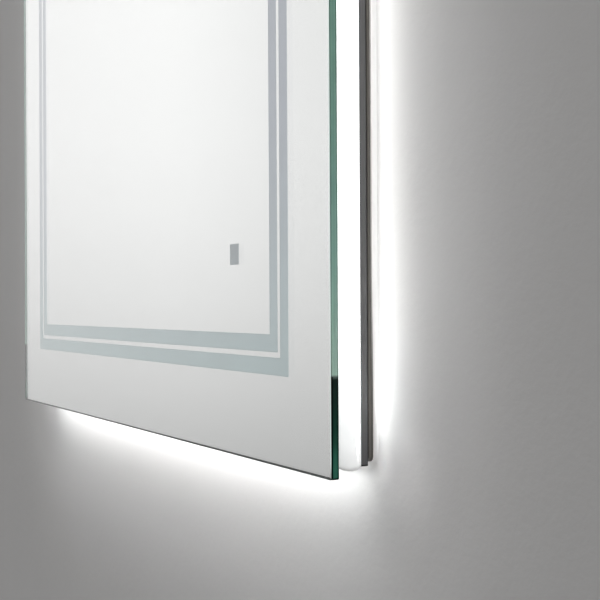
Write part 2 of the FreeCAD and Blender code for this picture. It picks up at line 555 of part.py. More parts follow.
comp = [
    plate_xz(10, 34, -252, -228, 11.5, 20.0, 1.5),               # transformer
    cyl_d(-36, -240, 7.0, 11.5, 20.0),                           # input capacitor
    cyl_d(-16, -232, 5.0, 12.0, 20.0),
    cyl_d(52, -233, 5.0, 12.0, 20.0),                            # output capacitors
    cyl_d(52, -247, 5.0, 12.0, 20.0),
    plate_xz(66, 80, -250, -230, 13.0, 20.0, 1.0),               # choke
    plate_xz(-20, -10, -252, -244, 15.0, 20.0, 0.5),             # switching device
    plate_xz(88, 99, -249, -231, 12.5, 20.0, 0.5),               # output connector
    plate_xz(-53, -46, -249, -231, 12.5, 20.0, 0.5),             # input connector
]
nodes["driver_components"] = group(comp)

# ------------------------------------------------------------------ demister
PAD = (-125.0, 125.0, -475.0, -125.0)
nodes["demister_pad"] = plate_xz(*PAD, C1, C1 + 0.4, 12)
nodes["demister_terminal"] = one(plate_xz(PAD[1] - 10, PAD[1] + 8, -318, -302, C1 + 0.4, 13.5, 1.5))

# ------------------------------------------------------------------ touch sensor
sx0, sx1, sz0, sz1 = TX - 17, TX + 17, TZ - 15, TZ + 15
F1 = C1 + FILM_T
case = plate_xz(sx0, sx1, sz0, sz1, F1, 16.0, 2.0)
case = case.makeFillet(1.0, edge_loop(case, 16.0)).cut(plate_xz(sx0 + 1.5, sx1 - 1.5, sz0 + 1.5, sz1 - 1.5, F1 - 1, 14.5, 1))
for px in (sx0 + 4, sx1 - 4):
    for pz in (sz0 + 4, sz1 - 4):
        case = case.fuse(cyl_d(px, pz, 1.5, 9.6, 15))
nodes["touch_sensor_case"] = one(case)
nodes["touch_sensor_board"] = plate_xz(sx0 + 1.8, sx1 - 1.8, sz0 + 1.8, sz1 - 1.8, 8.4, 9.6, 0.8)
electrode = cyl_d(TX, TZ, 5.0, F1, F1 + 0.5).fuse(cyl_d(TX, TZ, 1.5, F1, 8.4))
nodes["touch_electrode"] = one(electrode)

# ------------------------------------------------------------------ internal leads
LV, MAINS, EARTH = 4.0, 6.0, 2.6
leads = {
    "driver_supply_lead": ([(-110, TBZ[0]), (-110, -240), (DRV[0], -240)], MAINS_D, MAINS, 34),
    "sensor_feed_lead": ([(DRV[1], -232), (TX, -232), (TX, sz1)], LEAD_D, LV, 40),
    "demister_lead": ([(DRV[1], -248), (157, -248), (157, -310), (PAD[1] + 8, -310)], LEAD_D, LV, [20, 18]),
    "side_light_lead": ([(sx1, SIDE_LEAD_Z), (HW - WEB_S0, SIDE_LEAD_Z)], LEAD_D, LV, 0),
    "front_light_lead": ([(TX, sz0), (TX, -614.5), (HW - FRAME_IN - STRIP_T, -614.5)], LEAD_D, LV, 25),
    "earth_lead": ([(TBX[0], -120), (-190, -120), (-190, -161)], MAINS_D, EARTH, 22),
}
for name, (pts, d, dia, r) in leads.items():
    nodes[name] = tube(pts, d, dia, r) if len(pts) > 2 else cyl(pts[0][0], d, pts[0][1], dia / 2, pts[1][0] - pts[0][0], V(1, 0, 0))
    print(name, "bend radii", r, "mm")


def clip(x, z, along_z, lead_d, dia, foot_d, back=False):
    """Adhesive saddle that holds a lead."""
    w, l = dia + 4, 8
    hx, hz = (w / 2, l / 2) if along_z else (l / 2, w / 2)
    if back:
        top = lead_d - dia / 2 - 1.4
        b = plate_xz(x - hx, x + hx, z - hz, z + hz, top, foot_d, 1)
        pad = plate_xz(x - hx - (3 if along_z else 0), x + hx + (3 if along_z else 0), z - hz - (0 if along_z else 3), z + hz + (0 if along_z else 3), foot_d - 1.2, foot_d, 1)
    else:
        top = lead_d + dia / 2 + 1.4
        b = plate_xz(x - hx, x + hx, z - hz, z + hz, foot_d, top, 1)
        pad = plate_xz(x - hx - (3 if along_z else 0), x + hx + (3 if along_z else 0), z - hz - (0 if along_z else 3), z + hz + (0 if along_z else 3), foot_d, foot_d + 1.2, 1)
    axis = V(0, 0, 1) if along_z else V(1, 0, 0)
    start = (x, lead_d, z - l) if along_z else (x - l, lead_d, z)
    return one(b.fuse(pad).cut(cyl(start[0], start[1], start[2], dia / 2 + 0.02, 2 * l, axis)))


nodes["lead_clips"] = group([
    clip(TX, -300, True, LEAD_D, LV, C1), clip(TX, -400, True, LEAD_D, LV, C1), clip(TX, -500, True, LEAD_D, LV, C1),
    clip(236, SIDE_LEAD_Z, False, LEAD_D, LV, C1 + 0.2), clip(240, -614.5, False, LEAD_D, LV, C1 + 0.2),
    clip(157, -279, True, LEAD_D, LV, C1), clip(-110, -178, True, MAINS_D, MAINS, PANEL_D0 - REFL_T, back=True),
])

# earth stud, two nuts and a ring terminal
EX, EZ = -190.0, -175.0
nodes["earth_stud"] = one(cyl_d(EX, EZ, 4.0, PANEL_D0 - 1.0, PANEL_D0).fuse(cyl_d(EX, EZ, 2.0, 12.6, PANEL_D0 - 1.0)))


def nut(d0, d1):
    pts = [V(EX + 4.04 * math.cos(math.radians(60 * i + 30)), Y(d0), EZ + 4.04 * math.sin(math.radians(60 * i + 30))) for i in range(6)]
    return Part.Face(Part.makePolygon(pts + pts[:1])).extrude(V(0, d1 - d0, 0)).cut(cyl_d(EX, EZ, 2.0, d0 - 1, d1 + 1))


nodes["earth_nuts"] = group([nut(13.4, 16.6), nut(17.4, 20.6)])
ringt = cyl_d(EX, EZ, 4.3, 16.6, 17.4).fuse(box(EX - 1.6, EX + 1.6, 16.6, 17.4, EZ + 3, EZ + 8)).fuse(cyl(EX, MAINS_D, EZ + 7, 2.0, 7, V(0, 0, 1)))
nodes["earth_terminal"] = one(ringt.cut(cyl_d(EX, EZ, 2.0, 15, 19)))

# ------------------------------------------------------------------ output
for name, shape in nodes.items():
    solids = shape.Solids
    if not solids or not all(s.isValid() for s in solids):
        raise ValueError("bad solid in " + name)
    out = solids[0] if len(solids) == 1 else Part.makeCompound(solids)
    out.exportStep("parts/%s.step" % name)
print(len(nodes), "nodes", sum(len(s.Solids) for s in nodes.values()), "solids")
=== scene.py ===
import bpy
import math
from mathutils import Matrix, Vector

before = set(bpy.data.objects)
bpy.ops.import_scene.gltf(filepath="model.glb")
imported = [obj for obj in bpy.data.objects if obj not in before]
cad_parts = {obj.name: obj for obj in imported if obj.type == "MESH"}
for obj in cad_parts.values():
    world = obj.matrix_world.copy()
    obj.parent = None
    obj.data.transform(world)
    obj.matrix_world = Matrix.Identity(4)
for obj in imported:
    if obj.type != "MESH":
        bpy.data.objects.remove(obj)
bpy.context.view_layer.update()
scene = bpy.context.scene

# ---------------------------------------------------------------------------
# Lighted bathroom mirror.  Metres; the wall plane is y = 0, the pane spans
# x -0.300..0.300 and z -0.680..0.120, its front face is at y = -0.030.
# ---------------------------------------------------------------------------
HALF_W, Z_LOW, Z_HIGH = 0.300, -0.680, 0.120
WALL_Y = 0.00005
FLOOR_Z = -1.90


# ------------------------------------------------------------------ camera
def aim(location, yaw, pitch, roll, lens):
    """Camera turned yaw degrees to the left of +Y, then pitched up and rolled."""
    y, p, r = (math.radians(v) for v in (yaw, pitch, roll))
    f = Vector((-math.sin(y) * math.cos(p), math.cos(y) * math.cos(p), math.sin(p)))
    right = Vector((math.cos(y), math.sin(y), 0.0))
    up = right.cross(f)
    r2 = math.cos(r) * right + math.sin(r) * up
    u2 = -math.sin(r) * right + math.cos(r) * up
    m = Matrix((r2, u2, -f)).transposed().to_4x4()
    m.translation = location
    data = bpy.data.cameras.new("view")
    data.lens, data.sensor_width = lens, 36.0
    data.clip_start, data.clip_end = 0.01, 100.0
    cam = bpy.data.objects.new("view", data)
    scene.collection.objects.link(cam)
    cam.matrix_world = m
    scene.camera = cam


aim((0.81843, -0.32086, -0.59035), 62.174, 0.225, -0.298, 70.10)


# ------------------------------------------------------------------ node helper
class Finish:
    """A material's node tree, built up call by call. Textures use object coordinates in metres."""

    def __init__(self, name, tree=None):
        if tree is None:
            self.mat = bpy.data.materials.new(name)
            self.mat.use_nodes = True
            tree = self.mat.node_tree
        self.nt = tree
        self.nt.nodes.clear()
        self._co = None

    def principled(self, **values):
        self.b = self.node("ShaderNodeBsdfPrincipled")
        out = self.node("ShaderNodeOutputMaterial")
        self.nt.links.new(self.b.outputs[0], out.inputs["Surface"])
        self.put(**values)
        return self

    NAMES = {"color": "Base Color", "metal": "Metallic", "rough": "Roughness", "ior": "IOR", "alpha": "Alpha", "normal": "Normal",
             "spec": "Specular IOR Level", "trans": "Transmission Weight", "coat": "Coat Weight", "coat_rough": "Coat Roughness",
             "aniso": "Anisotropic", "tangent": "Tangent", "glow": "Emission Color", "glow_power": "Emission Strength",
             "sss": "Subsurface Weight", "sss_scale": "Subsurface Scale", "sheen": "Sheen Weight", "sheen_rough": "Sheen Roughness"}

    def put(self, **values):
        for k, v in values.items():
            self.set(self.b.inputs[self.NAMES[k]], v)
        return self

    def node(self, kind, **props):
        n = self.nt.nodes.new(kind)
        for k, v in props.items():
            setattr(n, k, v)
        return n

    def set(self, socket, v):
        if isinstance(v, bpy.types.NodeSocket):
            self.nt.links.new(v, socket)
        elif socket.type == "RGBA" and len(v) == 3:
            socket.default_value = (*v, 1.0)
        else:
            socket.default_value = v

    @property
    def co(self):
        if self._co is None:
            self._co = self.node("ShaderNodeTexCoord").outputs["Object"]
        return self._co

    def xyz(self, v=None):
        n = self.node("ShaderNodeSeparateXYZ")
        self.set(n.inputs[0], self.co if v is None else v)
        return n.outputs[0], n.outputs[1], n.outputs[2]

    def math(self, op, a, b=None, c=None, clamp=False):
        n = self.node("ShaderNodeMath", operation=op, use_clamp=clamp)
        for i, v in enumerate((a, b, c)):
            if v is not None:
                self.set(n.inputs[i], v)
        return n.outputs[0]

    def stretch(self, scale, v=None, turn=(0, 0, 0), shift=(0, 0, 0)):
        n = self.node("ShaderNodeMapping")
        self.set(n.inputs["Vector"], self.co if v is None else v)
        n.inputs["Scale"].default_value = scale
        n.inputs["Rotation"].default_value = turn
        n.inputs["Location"].default_value = shift
        return n.outputs[0]

    def noise(self, scale, detail=3.0, rough=0.5, warp=0.0, v=None, out="Fac"):
        n = self.node("ShaderNodeTexNoise")
        self.set(n.inputs["Vector"], self.co if v is None else v)
        n.inputs["Scale"].default_value = scale
        n.inputs["Detail"].default_value = detail
        n.inputs["Roughness"].default_value = rough
        n.inputs["Distortion"].default_value = warp
        return n.outputs[out]

    def cells(self, scale, out="Distance", feature="F1", v=None, random=1.0):
        n = self.node("ShaderNodeTexVoronoi", feature=feature)
        self.set(n.inputs["Vector"], self.co if v is None else v)
        n.inputs["Scale"].default_value = scale
        n.inputs["Randomness"].default_value = random
        return n.outputs[out]

    def remap(self, v, a, b, c=0.0, d=1.0, smooth=True):
        n = self.node("ShaderNodeMapRange", interpolation_type="SMOOTHSTEP" if smooth else "LINEAR")
        self.set(n.inputs[0], v)
        for i, x in zip((1, 2, 3, 4), (a, b, c, d)):
            self.set(n.inputs[i], x)
        return n.outputs[0]

    def ramp(self, fac, stops, mode="LINEAR"):
        n = self.node("ShaderNodeValToRGB")
        n.color_ramp.interpolation = mode
        els = n.color_ramp.elements
        while len(els) > 1:
            els.remove(els[-1])
        for i, (pos, col) in enumerate(stops):
            e = els[0] if i == 0 else els.new(pos)
            e.position = pos
            e.color = (col, col, col, 1.0) if isinstance(col, (int, float)) else (*col, 1.0)
        self.set(n.inputs[0], fac)
        return n.outputs[0]

    def mix(self, fac, a, b, mode="MIX"):
        n = self.node("ShaderNodeMix", data_type="RGBA", blend_type=mode)
        for s, v in ((n.inputs[0], fac), (n.inputs[6], a), (n.inputs[7], b)):
            self.set(s, v)
        return n.outputs[2]

    def blend(self, fac, a, b):
        n = self.node("ShaderNodeMix", data_type="FLOAT")
        for s, v in ((n.inputs[0], fac), (n.inputs[2], a), (n.inputs[3], b)):
            self.set(s, v)
        return n.outputs[0]

    def bump(self, height, depth, strength=1.0, normal=None):
        n = self.node("ShaderNodeBump")
        n.inputs["Strength"].default_value = strength
        n.inputs["Distance"].default_value = depth
        self.set(n.inputs["Height"], height)
        if normal is not None:
            self.set(n.inputs["Normal"], normal)
        return n.outputs[0]

    def facing(self):
        """The face's own normal, as x, y and z."""
        return self.xyz(self.node("ShaderNodeNewGeometry").outputs["True Normal"])

    def from_corner(self):
        """Distance along an edge of the mirror from the mitre at its nearer end."""
        x, _, z = self.xyz()
        a = self.math("SUBTRACT", HALF_W, self.math("ABSOLUTE", x))
        b = self.math("MINIMUM", self.math("SUBTRACT", z, Z_LOW), self.math("SUBTRACT", Z_HIGH, z))
        return self.math("ABSOLUTE", self.math("SUBTRACT", a, b))


finish = {}


def made(name):
    f = Finish(name).principled()
    finish[name] = f.mat
    return f


# ------------------------------------------------------------------ glass and mirror
# The pane: clear through its two faces; its ground edge shows the green depth of the glass, with painted light on it:
# a painted glow above the foot of the etched bands, painted light and shade across its thickness, painted highlights
# and a painted glow on the side arrises, and painted shade on the top and bottom edges.
f = made("clear_float_glass")
nx, ny, nz = f.facing()
across = f.math("ABSOLUTE", ny)
face = f.remap(across, 0.93, 0.97, smooth=False)             # the two large faces
flat = f.remap(across, 0.05, 0.25, 1.0, 0.0, smooth=False)   # the flat of the ground edge, without its arrises
level = f.remap(f.math("ABSOLUTE", nz), 0.35, 0.62)          # the edges along the top and the bottom
x, y, z = f.xyz()
deep = f.math("MULTIPLY", f.math("ADD", y, 0.030), 200.0)    # 0 at the front face, 1 at the back
up = f.remap(z, Z_LOW, Z_LOW + 0.32, 0.0, 1.0, smooth=False)
STEP = 0.0528 / 0.32
# painted glow: dim green below the foot of the etched bands, bright above it, lighter again at the very bottom
edge_tint_and_painted_glow = f.ramp(up, [
    (0.0, (0.062, 0.275, 0.190)), (0.022, (0.058, 0.260, 0.180)), (0.060, (0.027, 0.118, 0.080)), (0.085, (0.018, 0.076, 0.054)), (0.12, (0.017, 0.050, 0.038)),
    (STEP - 0.0016, (0.018, 0.034, 0.029)), (STEP + 0.0016, (0.66, 0.96, 0.82)), (0.24, (0.54, 0.84, 0.71)), (0.34, (0.40, 0.68, 0.575)), (0.45, (0.34, 0.60, 0.510)),
    (0.76, (0.290, 0.545, 0.440)), (1.0, (0.280, 0.535, 0.430)),
])
low = f.remap(z, Z_LOW + 0.0526, Z_LOW + 0.0530, 1.0, 0.0, smooth=False)
# painted light and shade in bands across the edge's thickness
painted_edge_bands = f.mix(low,
    f.ramp(deep, [(0.0, 0.46), (0.06, 0.42), (0.16, 0.56), (0.24, 0.96), (0.40, 0.95), (0.52, 0.84), (0.66, 1.0), (0.76, 0.92), (0.84, 0.52), (0.94, 0.38), (1.0, 0.42)]),
    f.ramp(deep, [(0.0, 0.05), (0.06, 0.02), (0.22, 0.05), (0.32, 0.92), (0.62, 1.10), (0.74, 0.72), (0.86, 0.46), (0.94, 0.36), (1.0, 0.45)]))
streak = f.noise(1.0, 4.0, 0.6, v=f.stretch((700, 2600, 9)))
edge_tint_and_painted_glow = f.mix(1.0, edge_tint_and_painted_glow, painted_edge_bands, "MULTIPLY")
edge_tint_and_painted_glow = f.mix(f.remap(streak, 0.35, 0.75, 0.0, 0.28), edge_tint_and_painted_glow, f.mix(1.0, edge_tint_and_painted_glow, (0.62, 0.66, 0.64), "MULTIPLY"))
# painted shade on the top and bottom edges
edge_tint_and_painted_glow = f.mix(f.math("MULTIPLY", level, 0.85), edge_tint_and_painted_glow, (0.012, 0.034, 0.027))
# painted highlight on the side arrises, brighter upwards, and painted shade on the top and bottom arrises
arris_painted_light = f.mix(level, f.mix(f.remap(z, -0.66, -0.60), (0.62, 0.74, 0.70), (0.80, 0.92, 0.88)), (0.045, 0.055, 0.052))
# painted shade along the lowest millimetre of the edge
rim = f.mix(f.remap(z, -0.6794, -0.6785, 1.0, 0.0), f.mix(flat, arris_painted_light, edge_tint_and_painted_glow), (0.010, 0.026, 0.021))
lit = f.math("MULTIPLY", f.math("SUBTRACT", 1.0, flat), f.math("SUBTRACT", 1.0, level))
smear = f.noise(7.0, 5.0, 0.65, 1.2)
f.put(
    color=f.mix(face, rim, (0.969, 0.974, 0.971)),
    rough=f.blend(face, f.remap(streak, 0.3, 0.7, 0.12, 0.22), f.remap(smear, 0.56, 0.78, 0.0, 0.018)),
    trans=face, ior=1.52, spec=f.blend(face, f.blend(low, 0.16, 0.03), 0.5),
    # painted glow on the side arrises, rising from the bottom
    glow=(0.86, 0.97, 0.93), glow_power=f.math("MULTIPLY", f.math("MULTIPLY", lit, f.remap(z, -0.6795, -0.6700, 0.0, 0.55)), f.math("SUBTRACT", 1.0, face)),
    normal=f.bump(f.noise(1.0, 2.0, 0.5, v=f.stretch((900, 4200, 40))), 0.00002, 0.25),
)

# Silver on the pane's back: mirror towards the room, grey protective paint behind.
f = made("silvering")
_, ny, _ = f.facing()
back = f.remap(ny, 0.3, 0.6, smooth=False)
haze = f.noise(9.0, 4.0, 0.6)
f.put(
    color=f.mix(back, f.mix(haze, (0.948, 0.950, 0.949), (0.955, 0.957, 0.956)), f.mix(f.noise(60, 4), (0.19, 0.21, 0.20), (0.25, 0.27, 0.26))),
    metal=f.blend(back, 1.0, 0.0),
    rough=f.blend(back, f.remap(haze, 0.3, 0.7, 0.004, 0.012), f.remap(f.noise(400, 3), 0.3, 0.7, 0.5, 0.7)),
)

# Frosted film seen through the etched bands and the touch window.
f = made("etched_window")
grain = f.noise(2200.0, 3.0, 0.7)
cloud = f.noise(24.0, 4.0, 0.55)
x, y, z = f.xyz()
inset = f.math("MINIMUM", f.math("SUBTRACT", HALF_W, f.math("ABSOLUTE", x)), f.math("MINIMUM", f.math("SUBTRACT", z, Z_LOW), f.math("SUBTRACT", Z_HIGH, z)))
edge_out = f.math("ABSOLUTE", f.math("SUBTRACT", inset, 0.055))
edge_in = f.math("ABSOLUTE", f.math("SUBTRACT", inset, 0.068))
shade = f.remap(f.math("MINIMUM", edge_out, edge_in), 0.0041, 0.0050, 1.0, 0.86)
pad = f.remap(inset, 0.08, 0.09)                               # the touch window lies further in
shade = f.blend(pad, shade, 0.67)
tint = f.mix(f.remap(z, -0.66, -0.46), (0.412, 0.500, 0.508), (0.380, 0.408, 0.462))
tint = f.mix(1.0, tint, shade, "MULTIPLY")
f.put(
    color=f.mix(f.remap(cloud, 0.3, 0.7, 0.0, 0.5), tint, f.mix(1.0, tint, (0.92, 0.935, 0.935), "MULTIPLY")),
    rough=f.remap(grain, 0.25, 0.75, 0.55, 0.8),
    normal=f.bump(grain, 0.00006, 0.5),
    glow=tint, glow_power=f.remap(cloud, 0.2, 0.8, 0.34, 0.40), spec=0.3,
)


# ------------------------------------------------------------------ diffuser
def opal(name, middle, lips, peak):
    """Opal cover lit from behind by its light strip. It dims towards the mitre, its lips less than its middle.
    Each list gives brightness against the distance from the mitre in millimetres."""
    f = made(name)
    x, y, z = f.xyz()
    t = f.from_corner()
    place = f.math("MULTIPLY", t, 5.0)
    centre = f.ramp(place, [(mm / 200, v / peak) for mm, v in middle])
    border = f.ramp(place, [(mm / 200, v / peak) for mm, v in lips])
    side = f.math("MULTIPLY", f.math("ABSOLUTE", f.math("ADD", y, 0.01595)), 1000.0)   # mm from the crown towards either lip
    band = f.ramp(f.math("DIVIDE", side, 7.0), [(0.0, 0.0), (0.50, 0.0), (0.59, 1.0), (0.71, 1.0), (0.77, 0.0), (1.0, 0.0)])
    band = f.math("MULTIPLY", band, f.remap(y, -0.0161, -0.0158))                       # only on the side of the wall
    ends = f.remap(side, 4.9, 5.6)
    beads = f.math("SINE", f.math("MULTIPLY", t, 2 * math.pi / 0.033))
    power = f.math("MULTIPLY", f.blend(band, centre, border), f.remap(beads, -1.0, 1.0, 0.96, 1.0, smooth=False))
    power = f.math("MULTIPLY", power, peak)
    power = f.blend(ends, power, f.math("MINIMUM", power, 1.05))
    fine = f.noise(1500.0, 3.0, 0.6)
    f.put(
        color=f.mix(f.noise(30.0, 4), (0.80, 0.80, 0.79), (0.86, 0.86, 0.86)),
        rough=f.remap(fine, 0.3, 0.7, 0.30, 0.42), spec=0.3,
        glow=f.mix(f.remap(t, 0.01, 0.12), (0.965, 0.985, 0.985), (1.0, 1.0, 0.995)),
        glow_power=power,
        normal=f.bump(fine, 0.00002, 0.3),
    )


opal("opal_diffuser_upright",
     [(0, 0.12), (0.8, 0.14), (1.6, 0.44), (7, 0.52), (12, 0.61), (20, 0.70), (30, 0.84), (40, 1.3), (50, 6.0), (64, 9.5), (95, 9.6), (150, 8.7), (200, 8.7)],
     [(0, 0.12), (0.8, 0.14), (1.6, 0.50), (7, 0.70), (10, 3.5), (14, 18.0), (20, 40.0), (28, 48.0), (44, 48.0), (64, 18.0), (95, 13.0), (150, 11.0), (200, 11.0)], 48.0)
opal("opal_diffuser_level",
     [(0, 0.12), (0.8, 0.14), (1.6, 1.0), (4, 4.6), (10, 9.0), (30, 10.8), (60, 12.2), (90, 13.2), (200, 14.8)],
     [(0, 0.12), (0.8, 0.14), (1.6, 1.0), (4, 4.6), (10, 9.0), (30, 10.8), (60, 12.2), (90, 13.2), (200, 14.8)], 48.0)


# ------------------------------------------------------------------ metals
def brushed(name, lengthwise, tone, rough=(0.28, 0.42)):
    """Anodised extrusion: die lines along its length, handling marks, painted shade along its front and rear margins,
    and a dark mitre.
    """
    f = made(name)
    s = {"x": (14, 5200, 5200), "z": (5200, 5200, 14)}[lengthwise]
    lines = f.noise(1.0, 5.0, 0.62, v=f.stretch(s))
    broad = f.noise(1.0, 3.0, 0.5, v=f.stretch(tuple(v / 6 for v in s)))
    spots = f.noise(46.0, 4.0, 0.6)
    x, y, z = f.xyz()
    t = f.from_corner()
    base = f.mix(f.remap(lines, 0.3, 0.7, 0.0, 0.6), tone, tuple(c * 0.80 for c in tone))
    base = f.mix(f.remap(broad, 0.35, 0.7, 0.0, 0.4), base, tuple(c * 1.25 for c in tone))
    # painted shade along the front and rear margins, darkest at the rear edge next to the pan
    painted_shade_margin = f.ramp(f.remap(y, -0.0092, -0.0046, smooth=False), [(0.0, 0.86), (0.09, 0.90), (0.16, 1.0), (0.80, 1.0), (0.87, 0.78), (0.92, 0.42), (1.0, 0.36)])
    base = f.mix(1.0, base, painted_shade_margin, "MULTIPLY")
    base = f.mix(f.remap(t, 0.0004, 0.0010, 1.0, 0.0), base, tuple(c * 0.16 for c in tone))
    f.put(
        color=base, metal=f.remap(spots, 0.3, 0.7, 0.80, 0.92),
        rough=f.math("ADD", f.remap(lines, 0.25, 0.75, rough[0], rough[1]), f.remap(spots, 0.4, 0.8, 0.0, 0.06)),
        normal=f.bump(lines, 0.00003, 0.35),
    )


FRAME_TONE = (0.128, 0.128, 0.130)
brushed("anodised_frame_upright", "z", FRAME_TONE)
brushed("anodised_frame_level", "x", FRAME_TONE)

# Powder-coated back pan, with painted shade on its rim at the seam to the frame and on its wall side, and painted
# light from the lit wall along the edge that faces the wall.
f = made("painted_pan")
pebble = f.noise(1300.0, 2.0, 0.55)
coarse = f.noise(420.0, 3.0, 0.6)
cloud = f.noise(5.0, 4.0, 0.6)
marks = f.noise(1.0, 5.0, 0.7, v=f.stretch((60, 60, 9), turn=(0, 0.5, 0)))
x, y, z = f.xyz()
nx, ny, nz = f.facing()
outward = f.math("MAXIMUM", f.remap(f.math("MAXIMUM", f.math("ABSOLUTE", nx), f.math("ABSOLUTE", nz)), 0.45, 0.6), f.remap(y, -0.0012, -0.0008))
ring = f.math("MAXIMUM", f.remap(f.math("ABSOLUTE", x), 0.2915, 0.2925), f.remap(f.math("ABSOLUTE", f.math("ADD", z, 0.28)), 0.3915, 0.3925))
rim = f.math("MULTIPLY", outward, ring)
tone = f.mix(f.remap(cloud, 0.3, 0.7), (0.150, 0.140, 0.122), (0.175, 0.163, 0.144))
tone = f.mix(f.remap(pebble, 0.55, 0.8, 0.0, 0.45), tone, (0.225, 0.212, 0.188))
tone = f.mix(f.remap(marks, 0.66, 0.80, 0.0, 0.3), tone, (0.26, 0.25, 0.23))
# painted shade across the rim: dark at the seam to the frame, darker again on its wall side
lines = f.ramp(f.remap(y, -0.0039, -0.0006, smooth=False), [(0.0, 0.14), (0.12, 0.16), (0.22, 0.95), (0.46, 1.05), (0.60, 0.62), (1.0, 0.60)])
tone = f.mix(rim, tone, f.mix(1.0, tone, lines, "MULTIPLY"))
# painted light: the rim's wall-side edge lightened as by the glowing wall, fading towards the corners
painted_wall_light_edge = f.math("MULTIPLY", f.math("MULTIPLY", rim, f.remap(y, -0.0017, -0.0012)), f.math("MULTIPLY", f.remap(f.from_corner(), 0.030, 0.110), f.remap(f.noise(90.0, 4.0, 0.6), 0.25, 0.5, 0.75, 1.0)))
tone = f.mix(painted_wall_light_edge, tone, (0.80, 0.79, 0.77))
f.put(
    color=tone, metal=0.0,
    rough=f.math("ADD", f.remap(coarse, 0.3, 0.7, 0.40, 0.56), f.remap(marks, 0.66, 0.8, 0.0, -0.08)),
    spec=0.45,
    normal=f.bump(coarse, 0.00008, 0.5, f.bump(pebble, 0.00005, 0.6)),
)


def plated(name, a, b, rough=(0.22, 0.42), scale=260.0):
    """Plated or plain small metal parts with a faint colour drift and fine tool marks."""
    f = made(name)
    drift = f.noise(scale, 3.0, 0.6)
    fine = f.noise(2600.0, 4.0, 0.65)
    spot = f.cells(900.0)
    base = f.mix(f.remap(drift, 0.3, 0.7), a, b)
    base = f.mix(f.remap(spot, 0.0, 0.16, 0.35, 0.0), base, tuple(c * 0.6 for c in a))
    f.put(color=base, metal=f.remap(spot, 0.0, 0.15, 0.75, 1.0), rough=f.remap(fine, 0.3, 0.7, *rough), normal=f.bump(fine, 0.00002, 0.3))


plated("zinc_screw", (0.62, 0.62, 0.57), (0.55, 0.58, 0.62))
plated("rivet_aluminium", (0.70, 0.70, 0.70), (0.60, 0.60, 0.61), (0.3, 0.5))
plated("cast_key", (0.50, 0.50, 0.51), (0.40, 0.40, 0.41), (0.5, 0.7), 90.0)
plated("brass_clamp", (0.72, 0.54, 0.25), (0.60, 0.42, 0.18), (0.22, 0.4))
plated("copper_electrode", (0.74, 0.42, 0.28), (0.62, 0.33, 0.20), (0.22, 0.4))

f = made("galvanised_rail")
cell = f.cells(95.0, out="Color", v=f.stretch((1.0, 0.5, 1.3)))
shade = f.node("ShaderNodeSeparateColor")
f.set(shade.inputs[0], cell)
spangle = shade.outputs[0]
edge = f.cells(95.0, feature="DISTANCE_TO_EDGE", v=f.stretch((1.0, 0.5, 1.3)))
fine = f.noise(1800.0, 4.0, 0.6)
base = f.mix(spangle, (0.34, 0.352, 0.366), (0.50, 0.51, 0.52))
base = f.mix(f.remap(edge, 0.0, 0.03, 0.25, 0.0), base, (0.27, 0.28, 0.29))
base = f.mix(f.remap(f.noise(40.0, 5.0, 0.7), 0.58, 0.75, 0.0, 0.4), base, (0.56, 0.56, 0.55))
f.put(color=base, metal=0.92, rough=f.math("ADD", f.remap(spangle, 0.0, 1.0, 0.30, 0.46, smooth=False), f.remap(fine, 0.3, 0.7, 0.0, 0.08)), normal=f.bump(fine, 0.00003, 0.3))


# ------------------------------------------------------------------ plastics, rubber and boards
def moulded(name, a, b, rough=(0.35, 0.5), grain=0.00004, scale=1100.0, spec=0.5, dust=None):
    """Moulded plastic or rubber: fine spark-eroded grain, drifting tone and a little dust."""
    f = made(name)
    skin = f.noise(scale, 3.0, 0.6)
    drift = f.noise(38.0, 4.0, 0.6)
    base = f.mix(f.remap(drift, 0.3, 0.7), a, b)
    if dust:
        base = f.mix(f.remap(f.noise(160.0, 5.0, 0.7), 0.55, 0.8, 0.0, 0.35), base, dust)
    f.put(color=base, rough=f.remap(skin, 0.3, 0.7, *rough), spec=spec, normal=f.bump(skin, grain, 0.4))
    return f


moulded("black_rubber", (0.018, 0.018, 0.019), (0.030, 0.030, 0.031), (0.58, 0.75), 0.00006, 900.0, 0.4, (0.10, 0.095, 0.09))
moulded("black_gasket", (0.014, 0.014, 0.013), (0.028, 0.027, 0.026), (0.8, 0.95), 0.00015, 1600.0, 0.2)
moulded("foam_tape", (0.020, 0.020, 0.021), (0.040, 0.040, 0.041), (0.85, 0.97), 0.0002, 1900.0, 0.15)
moulded("white_reflector", (0.82, 0.82, 0.82), (0.88, 0.88, 0.88), (0.6, 0.75), 0.00003, 700.0, 0.4)
moulded("box_white", (0.72, 0.72, 0.70), (0.78, 0.78, 0.76))
moulded("box_black", (0.022, 0.022, 0.024), (0.034, 0.034, 0.036), (0.42, 0.6))
moulded("terminal_moulding", (0.60, 0.60, 0.55), (0.68, 0.68, 0.63))
moulded("driver_shell", (0.76, 0.76, 0.75), (0.82, 0.82, 0.81))
moulded("sensor_case", (0.028, 0.028, 0.031), (0.040, 0.040, 0.044), (0.42, 0.6))
moulded("clip_nylon", (0.70, 0.70, 0.65), (0.78, 0.78, 0.73), (0.4, 0.55))
moulded("white_lead", (0.72, 0.72, 0.70), (0.80, 0.80, 0.78), (0.38, 0.5), 0.00003, 1500.0)
moulded("grey_lead", (0.16, 0.16, 0.165), (0.21, 0.21, 0.215), (0.38, 0.5), 0.00003, 1500.0)
moulded("component_body", (0.020, 0.020, 0.022), (0.045, 0.045, 0.048), (0.3, 0.5))
moulded("strip_board", (0.74, 0.74, 0.70), (0.82, 0.82, 0.79), (0.4, 0.55), 0.00003, 600.0)

